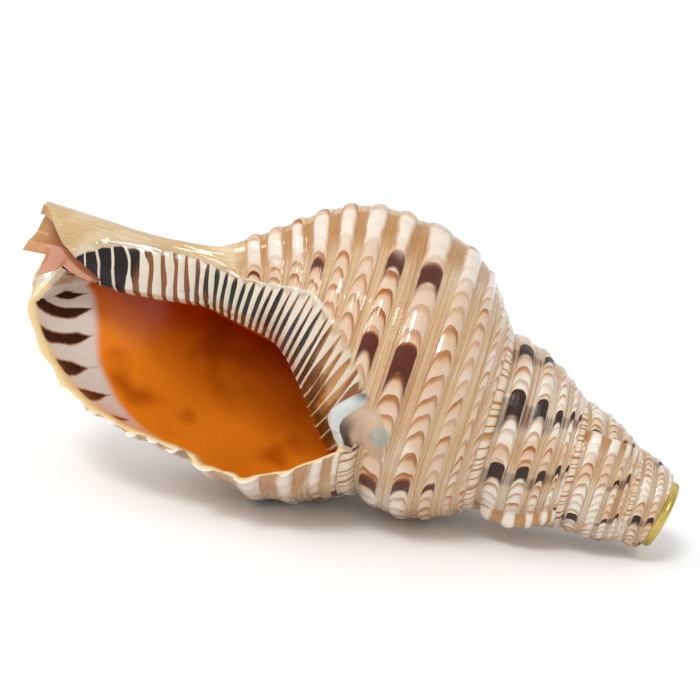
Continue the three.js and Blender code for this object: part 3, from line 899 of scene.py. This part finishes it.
# The finish of the shell. Outside, each cord carries a row of brown crescents on pinkish cream, with flames
# of dark spots across the whorls. The hollow is orange behind a pale lip with dark bars. All but the gutter
# is glossy.
CREAM = srgb(0.83, 0.72, 0.62)
WHITE = srgb(0.9, 0.86, 0.8)
CRESCENT = srgb(0.6, 0.34, 0.06)
CRESCENT_FADE = srgb(0.8, 0.58, 0.33)
DARK_SPOT = srgb(0.33, 0.12, 0.02)
OLD_SPOT = srgb(0.19, 0.09, 0.05)
GROOVE = srgb(0.83, 0.69, 0.52)
GROOVE_LINE = srgb(0.66, 0.43, 0.19)
BLOCK_BROWN = srgb(0.69, 0.47, 0.23)
NECK_TAN = srgb(0.8, 0.66, 0.46)
NECK_PALE = srgb(0.86, 0.77, 0.63)
# The orange of the hollow; the brighter and the deeper one are painted light and painted shade.
ORANGE = srgb(0.61, 0.18, 0.0)
PAINTED_LIGHT_ORANGE = srgb(0.9, 0.5, 0.09)
PAINTED_SHADE_ORANGE = srgb(0.5, 0.13, 0.0)
RIDGE_PALE = srgb(0.78, 0.72, 0.62)
GLAZE_TAN = srgb(0.71, 0.6, 0.46)
RIDGE_BLACK = srgb(0.08, 0.04, 0.02)
RIDGE_GREY = srgb(0.22, 0.21, 0.23)
RIDGE_BROWN = srgb(0.5, 0.3, 0.13)
BAR_BROWN = srgb(0.24, 0.14, 0.08)
LIP_WHITE = srgb(0.9, 0.85, 0.8)
LIP_EDGE = srgb(0.9, 0.78, 0.57)
CANAL_ROSE = srgb(0.7, 0.43, 0.29)
KNOB_GREY = srgb(0.6, 0.6, 0.55)
TOOTH_PINK = srgb(0.7, 0.56, 0.44)
TOOTH_WHITE = srgb(0.78, 0.79, 0.78)
CRESCENT_ANGLE = 9
ARCH = 0.8
SPOT_DEGREES = 44
# The strength of the painted glow inside the hollow.
PAINTED_GLOW_STRENGTH = 0.12


def shell_finish():
    paint = Finish("shell_glaze")
    mixed, eased, faded = paint.mixed, paint.eased, paint.faded

    def parts_of(vector, which):
        return [paint.node("SeparateXYZ", None, {0: vector}, k) for k in which]

    def sheet(name):
        return parts_of(paint.node("UVMap", {"uv_map": name}), (0, 1))

    def maths(operation, value, other=0.0):
        return paint.node("Math", {"operation": operation}, {0: value, 1: other})

    def wave(value):
        return maths("SINE", value * (2 * math.pi))

    def at(x, y, z=0.0):
        return paint.node("CombineXYZ", None, {0: x, 1: y, 2: z})

    def luck(x, y):
        return paint.node("TexWhiteNoise", {"noise_dimensions": "2D"}, {"Vector": at(x, y)})

    line, v = sheet("growth")
    along, angle = sheet("axis")
    count, glaze = sheet("cords")
    side, flames = sheet("side")
    ridge_number, depth = sheet("ridges")
    thread, blocks = sheet("marks")
    into_orange, bars = sheet("lip")
    off_tooth, length = sheet("spots")
    spot = paint.node("TexCoord", None, None, 3)
    cloudy = paint.noise(spot, 55, 3)
    fine_cloud = paint.noise(spot, 300, 3)
    blotch, speck = cloudy - 0.5, fine_cloud - 0.5
    drift = paint.noise(at(line * 0.03, count * 0.9), 1)

    # Crescents on the cords: each is sharp on its younger side and fades towards the older one.
    shifted = count + 0.07 * blotch
    cord = maths("FLOOR", shifted)
    middle = maths("FRACT", shifted) * (2 / CORD_SHARE) - 1
    from_middle = maths("ABSOLUTE", middle)
    bow = maths("MINIMUM", from_middle, 1) ** 2
    arch = ARCH * (0.35 * bow + 0.65 * bow ** 2.5)
    on_cord = faded(from_middle, 0.86, 1.02)
    phase = line / CRESCENT_ANGLE + luck(cord, 3) * 7 + 1.5 * drift + 0.16 * fine_cloud + arch
    step = maths("FRACT", phase)
    cell = luck(maths("FLOOR", phase), cord)
    strength = 0.35 + 0.65 * eased(0.5 * cell + 0.9 * drift, 0.4, 1)
    old = faded(line, -240, -180)
    whitened = paint.noise(at(line * 0.022, v * 1.1, 4), 1) + 0.25 * blotch + 0.07 * old
    whiteness = eased(whitened, 0.48, 0.62)
    pale = mixed(CREAM, WHITE, whiteness)
    shade = eased(step, 0, 0.9) * strength * (1 - 0.6 * whiteness)
    cord_colour = mixed(pale, CRESCENT_FADE, shade * 0.7)
    cord_colour = mixed(cord_colour, CRESCENT, eased(step, 0.52, 0.84) * strength * (1 - 0.35 * whiteness))

    # Dark spots in the flames: round on the younger side, with two fading legs on the older one.
    in_flames = flames + 0.5 + 0.2 * (luck(cord, 5) - 0.5)
    flame = maths("FLOOR", in_flames)
    away = (maths("FRACT", in_flames) - 0.5) * SPOT_DEGREES
    below = length / 2 - away - 7 * arch + 1.2 * speck
    spotted = eased(below, 0, 0.7) * faded(below, length * 0.62, length * (0.8 + 0.5 * bow))
    spotted = spotted * eased(length, 2, 4) * faded(from_middle, 0.84, 1)
    spot_colour = mixed(CRESCENT, DARK_SPOT, eased(below, 0.4, 2.2))
    spot_colour = mixed(spot_colour, OLD_SPOT, old * eased(below, 0.3, 1.5))
    cord_colour = mixed(cord_colour, spot_colour, spotted)

    # Fine brown lines in the grooves, and blocks of white and brown along the old lips.
    lined = paint.noise(at(thread * 0.85, line * 0.012), 1)
    lined = eased(lined + 0.1 * speck, 0.42, 0.64)
    groove_colour = mixed(mixed(GROOVE, WHITE, whiteness * 0.45), GROOVE_LINE, lined * (0.3 + 0.7 * drift))
    in_flame = eased(below, 0, 4) * faded(below, length * 0.7, length * 1.1)
    in_flame = in_flame * eased(length, 2, 4)
    groove_colour = mixed(groove_colour, DARK_SPOT, in_flame * old * (0.4 + 0.4 * lined))
    outside = mixed(groove_colour, cord_colour, on_cord)
    block_edge = eased(from_middle + 1.1 * blotch + 0.5 * (luck(cord, 9) - 0.5), 0.6, 1.1)
    block_colour = mixed(WHITE, mixed(BLOCK_BROWN, CRESCENT_FADE, lined * 0.5), block_edge)
    outside = mixed(outside, block_colour, eased(blocks + 0.3 * (drift - 0.5), 0.3, 0.85) * 0.85)

    # The neck is plain tan, and the cord under each suture is white with brown lines in its wrinkles.
    on_neck = eased(count + 1.2 * blotch, 11.4, 12.6)
    growth_lines = paint.noise(at(line * 0.3, v * 14), 1, 4)
    neck_colour = mixed(NECK_TAN, NECK_PALE, eased(0.5 * cloudy + 0.5 * growth_lines, 0.42, 0.62))
    outside = mixed(outside, neck_colour, on_neck)
    on_beads = faded(v, BEAD_BAND, BEAD_BAND + 0.02)
    bead = maths("ABSOLUTE", wave(bead_count(line, lambda turn: maths("SINE", turn)) / 2))
    bead_brown = mixed(GROOVE_LINE, BAR_BROWN, in_flame * 0.8)
    bead_colour = mixed(bead_brown, mixed(GROOVE, WHITE, cloudy), eased(bead, 0.2, 0.6))
    outside = mixed(outside, bead_colour, on_beads * (1 - glaze))

    # The glaze of the inner lip: pale ridges, with gaps that are black beside the canal, thin and brown next
    # to it, grey along the middle, and brown again towards the spire. Its outer edge is a thin white line.
    at_canal = eased(along, 329, 336)
    beside = eased(along, 300, 312) * (1 - at_canal)
    towards_spire = faded(along, 232, 246)
    ridge = 0.5 + 0.5 * wave(ridge_number + 0.25)
    patch = luck(maths("FLOOR", ridge_number + 0.5), 2)
    gap_share = 0.48 - 0.2 * beside + 0.37 * at_canal + 0.42 * towards_spire + 0.3 * blotch
    opening = 0.1 + 0.9 * eased(depth + 18 * (patch - 0.5), -4, 22)
    gap_share = gap_share * (at_canal + (1 - at_canal) * opening)
    gap = faded(ridge, gap_share, gap_share + 0.14)
    dark_part = eased(depth + 16 * (patch - 0.5), 2, 12) * (1 - eased(depth, 50, 66) * 0.5)
    gap_colour = mixed(RIDGE_BROWN, mixed(RIDGE_GREY, RIDGE_BLACK, patch), dark_part * (1 - beside))
    spire_gap = mixed(BLOCK_BROWN, RIDGE_BROWN, eased(cloudy + 0.3 * (patch - 0.5), 0.38, 0.6))
    spire_gap = mixed(spire_gap, RIDGE_BLACK, eased(depth + 20 * blotch, 20, 44) * 0.85)
    gap_colour = mixed(gap_colour, spire_gap, towards_spire)
    gap_colour = mixed(gap_colour, RIDGE_BLACK, at_canal * eased(depth, 1, 4))
    lined_glaze = mixed(mixed(RIDGE_PALE, WHITE, cloudy * (1 - 0.6 * towards_spire)), gap_colour, gap)
    plain_glaze = mixed(GLAZE_TAN, mixed(CREAM, RIDGE_PALE, 1 - towards_spire), eased(cloudy, 0.42, 0.62))
    glazed = mixed(plain_glaze, lined_glaze, eased(depth, -1, 3))
    over = eased(glaze, 0.05, 0.5) * (1 - 0.45 * towards_spire * faded(depth, -3, 2))

    # The white tooth has a grey end and painted shade in the hollow beside it, and the knob is grey green.
    off_knob = maths("SQRT", (along - KNOB_ALONG) ** 2 + (angle - KNOB_ANGLE) * (angle - KNOB_ANGLE))
    tooth = faded(maths("ABSOLUTE", off_tooth), 3, 3.7)
    tooth = tooth * faded(angle + 0.22 * (off_tooth * off_tooth), TOOTH_END, TOOTH_END + 1.5)
    past_tooth = faded(off_tooth, -3.4, -2.4)
    # Painted shade in the hollow beside the tooth.
    shadow = past_tooth * eased(off_tooth + 5 * blotch, -10, -6) * faded(angle, -10, 3)
    end_colour = mixed(TOOTH_PINK, plain_glaze, eased(angle, -8, 6) * 0.6)
    end_colour = mixed(end_colour, RIDGE_BLACK, shadow * 0.85)
    tooth_colour = mixed(TOOTH_WHITE, RIDGE_GREY, eased(angle + 6 * blotch, 5, 11) * 0.8)
    end_colour = mixed(end_colour, tooth_colour, tooth)
    end_part = (1 - (1 - past_tooth) * (1 - tooth)) * faded(along, 226, 230)
    glazed = mixed(glazed, end_colour, end_part)
    over = 1 - (1 - over) * (1 - end_part * eased(glaze, 0.1, 0.4) * faded(angle, 4, 9))
    outside = mixed(outside, glazed, over)
    outside = mixed(outside, KNOB_GREY, 1 - eased(off_knob + 1.5 * speck, 3.2, 5.8))
    white_line = eased(glaze, 0.05, 0.25) * faded(glaze, 0.55, 0.9)
    outside = mixed(outside, WHITE, white_line * (1 - towards_spire) * (1 - at_canal) * 0.6)

    # The hollow: a pale lip with dark bars, then orange with a painted glow for light through the wall.
    from_lip = LIP_ANGLE - line
    bar_number = maths("FLOOR", bars + 0.5)
    bar_luck = luck(bar_number, 8)
    wide = 0.23 + 0.05 * bar_luck - 0.12 * faded(bars, 6.5, 8) + 0.03 * eased(bars, 10.4, 10.6)
    wide = wide * faded(into_orange + 6 * bar_luck, -11, 3)
    bar_place = maths("ABSOLUTE", maths("FRACT", bars + 0.5) - 0.5)
    bar = faded(bar_place + 0.16 * blotch + 0.08 * speck, wide - 0.15, wide + 0.08)
    bar = bar * eased(from_lip, 1.5, 4) * faded(into_orange, -2, 2)
    bar = bar * faded(glaze, 0.02, 0.1)
    margin = faded(from_lip + 3 * blotch, 1.5, 6)
    lip_colour = mixed(LIP_WHITE, LIP_EDGE, margin)
    lip_colour = mixed(lip_colour, CRESCENT, eased(bar, 0.02, 0.5) * 0.85)
    lip_colour = mixed(lip_colour, BAR_BROWN, eased(bar, 0.3, 0.8))
    # Painted shade and light: the orange is darker higher up and in mottles, and brighter at the lower left.
    mottle = paint.noise(spot, 24, 2)
    x_place, z_place = parts_of(spot, (0, 2))
    painted_light_low_left = eased(-1 * x_place - 1.9 * z_place + 0.05 * (mottle - 0.5), -0.055, 0.005)
    deep = mixed(ORANGE, PAINTED_SHADE_ORANGE, eased(mottle + 4 * (z_place - 0.07), 0.42, 0.62))
    deep = mixed(deep, PAINTED_LIGHT_ORANGE, painted_light_low_left * (1 - 0.6 * eased(mottle, 0.5, 0.65)))
    is_deep = eased(into_orange + 6 * blotch, -2, 4)
    hollow = mixed(lip_colour, deep, is_deep)
    on_wall = eased(glaze, 0.4, 0.6)
    behind = -16 - 0.247 * (along - 220) - angle
    wall_deep = eased(behind, 8, 24)
    gutter = mixed(CANAL_ROSE, NECK_TAN, eased(along + 20 * blotch, 366, 384) * 0.6)
    by_canal = eased(along, 351, 356) * eased(behind, -3, 2)
    wall_colour = mixed(mixed(glazed, deep, wall_deep), gutter, by_canal)
    hollow = mixed(hollow, wall_colour, on_wall)

    inside = eased(side, 0.4, 0.6)
    colour = mixed(outside, hollow, inside)
    in_canal = eased(side, 1.4, 1.6) * faded(side, 2.4, 2.6)
    colour = mixed(colour, gutter, in_canal)
    colour = mixed(colour, WHITE, eased(side, 2.4, 2.6))
    # Painted glow: the orange is given off as emission, standing in for light that shines through the thin
    # wall.
    painted_glow_part = inside * faded(side, 1.4, 1.6) * (is_deep * (1 - on_wall) + wall_deep * on_wall)
    painted_glow = mixed((0.0, 0.0, 0.0), deep, painted_glow_part)

    thread_relief = wave(thread) * (0.12 + 0.4 * (1 - on_cord)) * (1 - on_neck)
    neck_relief = (growth_lines - 0.5) * on_neck * 3.5
    relief = (thread_relief + neck_relief) * (1 - inside) * (1 - 0.8 * glaze) + 0.25 * fine_cloud
    on_ridges = (1 - (1 - inside) * (1 - glaze)) * (1 - inside * (1 - on_wall))
    relief = relief + 0.7 * ridge * eased(depth, 0, 4) * on_ridges
    bump = paint.node("Bump", None, {"Height": relief, "Strength": 0.6, "Distance": 0.0006})
    brightness = paint.node("RGBToBW", None, {0: colour})
    coated = 0.75 * eased(brightness, 0.02, 0.25) * (1 - painted_glow_part * (1 - 0.15 * on_wall))
    return paint.finished({
        "Base Color": colour,
        "Roughness": 0.2 + 0.16 * fine_cloud + 0.3 * in_canal,
        "Normal": bump,
        "Specular IOR Level": 0.28,
        "Coat Weight": 0.15 + coated * (1 - in_canal),
        "Coat Roughness": 0.05,
        "Subsurface Weight": 0.1,
        "Subsurface Radius": (0.006, 0.002, 0.0008),
        "Subsurface Scale": 1.0,
        "Emission Color": painted_glow,
        "Emission Strength": PAINTED_GLOW_STRENGTH,
    })


shell.data.materials.clear()
shell.data.materials.append(shell_finish())
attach(shell, "root")
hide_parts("shell")

# The mouthpiece is turned from brass: a rounded band over the ground end of the spire, a shallow cup,
# a throat, and a spigot that is cemented down the bore. It is worn bright and has tarnished in its corners.
# Its bright patches are partly worn metal and partly a painted highlight.
BRASS = srgb(0.74, 0.64, 0.34)
BRASS_WORN_AND_PAINTED_HIGHLIGHT = srgb(0.95, 0.84, 0.52)
TARNISH = srgb(0.32, 0.26, 0.1)
BAND_RADIUS = 16.2
BAND_EDGE = 0.9
SPIGOT_RADIUS = 9.2
SPIGOT_LENGTH = 12
CUP_RADIUS = 11
CUP_DEPTH = 7
CUP_FLOOR = 5.3
CUP_STEPS = 12
THROAT_RADIUS = 4.5
TURNED_LINE = 0.25
TURNED_DEPTH = 0.12
BRASS_SIDES = 160
BRASS_EDGE = math.radians(40)


def arc(x, r, radius, start, end, steps=8):
    """Points of a round edge, as (along, radius), with angles in degrees from the coiling axis."""
    turned = [math.radians(between(start, end, k / steps)) for k in range(steps + 1)]
    return [(x + radius * math.cos(t), r + radius * math.sin(t)) for t in turned]


def mouthpiece_profile():
    """The section of the mouthpiece, with x measured from the cut end and growing out of the shell."""
    edge, band, back = BAND_EDGE, BAND_WIDTH, -BAND_WIDTH - SPIGOT_LENGTH
    section = [(back, THROAT_RADIUS), (-CUP_DEPTH - 1.5, THROAT_RADIUS)]
    section += [(-CUP_DEPTH - 0.6, THROAT_RADIUS + 0.25), (-CUP_DEPTH, CUP_FLOOR)]
    for t in np.linspace(0.1, 0.85, CUP_STEPS) * math.pi / 2:
        section.append((-CUP_DEPTH * math.cos(t), between(CUP_FLOOR, CUP_RADIUS, math.sin(t) ** 0.8)))
    section += arc(-edge, CUP_RADIUS + edge, edge, -90, 0)
    section += [(0.0, between(CUP_RADIUS + edge, BAND_RADIUS - edge, part)) for part in (0.25, 0.5, 0.75)]
    section += arc(-edge, BAND_RADIUS - edge, edge, 0, 90)
    for step, depth in ((TURNED_LINE, 0), (0, TURNED_DEPTH), (-TURNED_LINE, 0)):
        section.append((-band / 2 + step, BAND_RADIUS - depth))
    section += arc(-band + edge, BAND_RADIUS - edge, edge, 90, 180)
    section += [(-band, SPIGOT_RADIUS), (back, SPIGOT_RADIUS)]
    return np.array(section)


def mouthpiece_mesh():
    section = mouthpiece_profile()
    count = len(section)
    angle = np.linspace(0, 360, BRASS_SIDES, endpoint=False)
    a = CUT_ALONG - section[:, 0][None, :] + 0 * angle[:, None]
    points = place(a, section[:, 1][None, :] + 0 * angle[:, None], angle[:, None] + 0 * a)
    index = np.arange(BRASS_SIDES * count).reshape(BRASS_SIDES, count)
    turned, onward = np.roll(index, -1, axis=0), np.roll(index, -1, axis=1)
    both = np.roll(turned, -1, axis=1)
    faces = np.stack([index, turned, both, onward], -1).reshape(-1, 4)
    mesh = bpy.data.meshes.new("mouthpiece")
    mesh.from_pydata(rested(points.reshape(-1, 3)).tolist(), [], faces.tolist())
    mesh.validate()
    mesh.shade_smooth()
    mesh.set_sharp_from_angle(angle=BRASS_EDGE)
    return mesh


def brass_finish():
    brass = Finish("worn_brass")
    spot = brass.node("TexCoord", None, None, 3)
    cloudy = brass.noise(spot, 90.0, 4.0, 0.6)
    grain = brass.noise(spot, 900.0, 2.0)
    stain = brass.eased(brass.noise(spot, 45.0, 5.0, 0.7), 0.48, 0.68)
    # Brighter patches: worn brass, and also a painted highlight.
    colour = brass.mixed(BRASS, BRASS_WORN_AND_PAINTED_HIGHLIGHT, brass.eased(cloudy, 0.45, 0.7))
    colour = brass.mixed(colour, TARNISH, stain * 0.75)
    bump = brass.node("Bump", None, {"Height": grain + cloudy, "Strength": 0.35, "Distance": 0.0003})
    dullness = 0.24 + 0.3 * stain
    return brass.finished({"Base Color": colour, "Metallic": 1.0, "Roughness": dullness, "Normal": bump})


mouthpiece = bpy.data.objects.new("mouthpiece_brass", mouthpiece_mesh())
mouthpiece.data.materials.append(brass_finish())
bpy.context.scene.collection.objects.link(mouthpiece)
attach(mouthpiece, "root")
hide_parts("mouthpiece")
